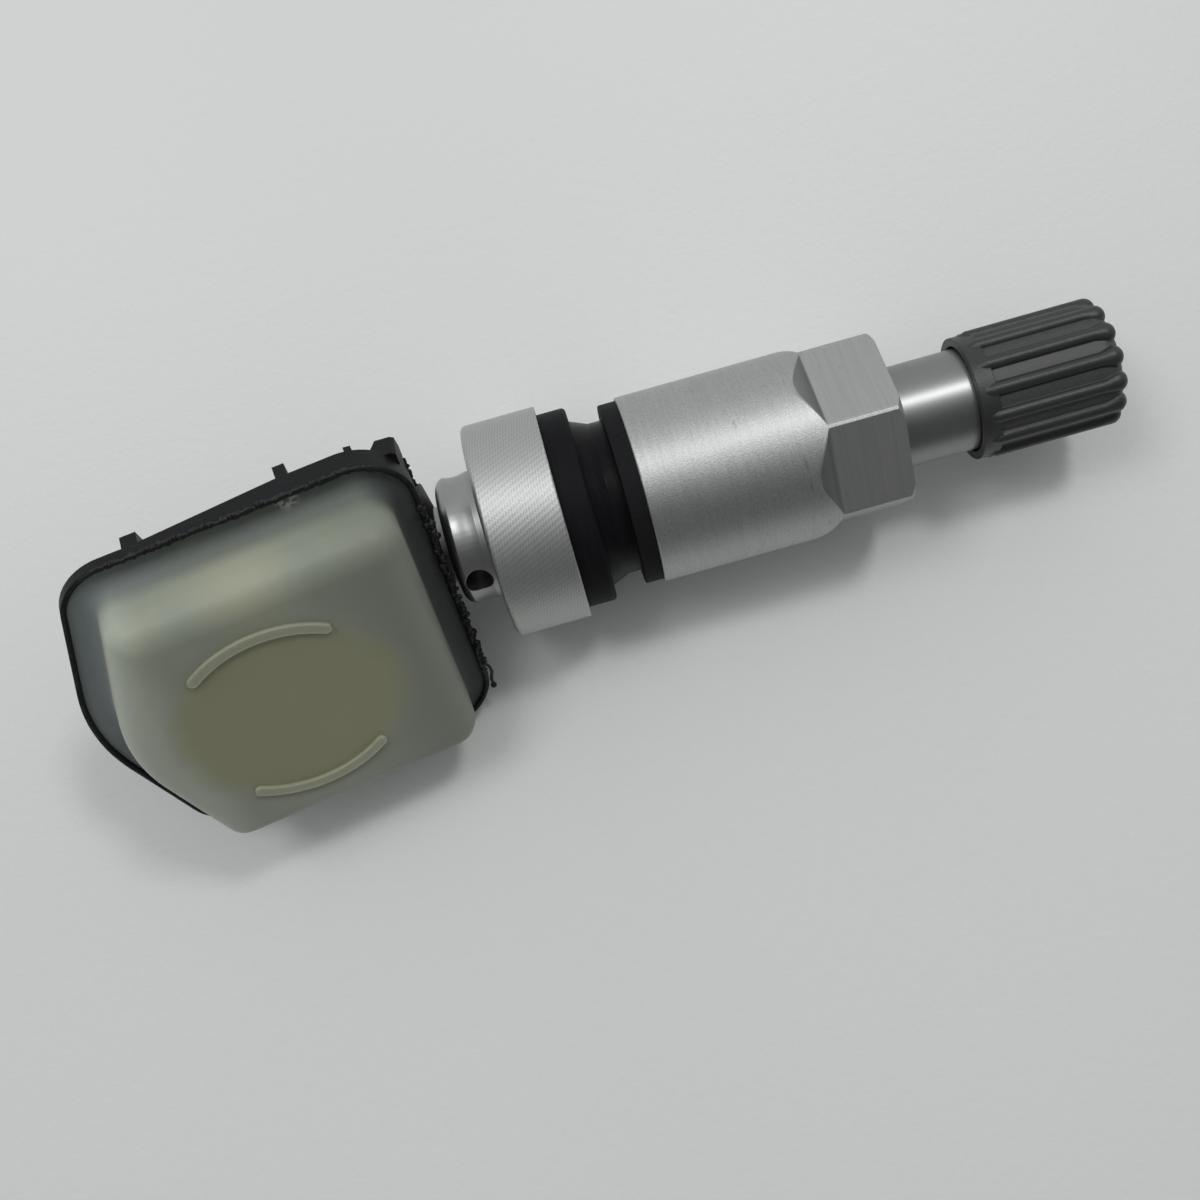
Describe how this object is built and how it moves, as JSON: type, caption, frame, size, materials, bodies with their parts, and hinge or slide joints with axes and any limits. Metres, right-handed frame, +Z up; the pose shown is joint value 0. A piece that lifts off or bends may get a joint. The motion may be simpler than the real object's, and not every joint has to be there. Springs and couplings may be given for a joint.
{
  "type": "tyre pressure sensor",
  "caption": "Clamp-in tyre pressure sensor: moulded housing with cell and circuit, screwed to an aluminium tyre valve with rubber grommet, sleeve nut and ribbed cap.",
  "frame": {"origin": "on the valve axis, in the middle of the grommet's pilot, which sits in the wheel's valve hole", "axes": "+X along the valve axis towards the cap; +Z up as the sensor lies on its collar and housing"},
  "size_m": [0.0755, 0.024, 0.0239],
  "materials": {
    "satin_aluminium": "satin turned",
    "black_rubber": "matte moulded",
    "black_washer": "matte",
    "grey_cap": "satin moulded",
    "black_base": "satin moulded",
    "milky_cover": "milky gloss",
    "core_brass": "turned",
    "bright_steel": "bright",
    "green_board": "lacquered",
    "black_chip": "moulded",
    "copper_winding": "enamelled",
    "tan_ceramic": "matte"
  },
  "bodies": {
    "valve": {"valve_stem": "satin_aluminium", "rim_grommet": "black_rubber", "core_plug": "core_brass", "core_barrel": "core_brass", "core_seal": "black_rubber", "core_spring": "bright_steel", "fixing_screw": "bright_steel", "base_housing": "black_base", "cover_housing": "milky_cover", "circuit_board": "green_board", "coin_cell": "bright_steel", "cell_tab_upper": "bright_steel", "cell_tab_lower": "bright_steel", "sensor_chip": "black_chip", "port_seal": "black_rubber", "lf_coil": "copper_winding", "rf_antenna": "bright_steel", "quartz_crystal": "bright_steel", "chip_capacitors": "tan_ceramic"},
    "washer": {"nut_washer": "black_washer"},
    "nut": {"sleeve_nut": "satin_aluminium"},
    "cap_disc": {"cap_seal": "black_rubber"},
    "cap": {"valve_cap": "grey_cap"},
    "pin": {"core_pin": "core_brass", "cup_seal": "black_rubber"}
  },
  "joints": [
    {"name": "washer_slide", "type": "slide", "parent": "valve", "child": "washer", "axis": [1, 0, 0], "range_m": [0, 0.005]},
    {"name": "nut_turn", "type": "hinge", "parent": "washer", "child": "nut", "pos_m": [0, 0, 0], "axis": [1, 0, 0], "range_deg": [0, 1800.5]},
    {"name": "cap_lift", "type": "slide", "parent": "valve", "child": "cap_disc", "axis": [1, 0, 0], "range_m": [0, 0.00953]},
    {"name": "cap_turn", "type": "hinge", "parent": "cap_disc", "child": "cap", "pos_m": [0.03, 0, 0], "axis": [1, 0, 0], "range_deg": [0, 4320.5]},
    {"name": "pin_press", "type": "slide", "parent": "valve", "child": "pin", "axis": [-1, 0, 0], "range_m": [0, 0.0012], "stiffness_N_per_m": 2000, "deforming": ["core_spring"]}
  ],
  "couplings": [
    {"joint": "nut_turn", "follows": "washer_slide", "rad_per_m": 6283.2},
    {"joint": "cap_turn", "follows": "cap_lift", "rad_per_m": 7913.3}
  ]
}
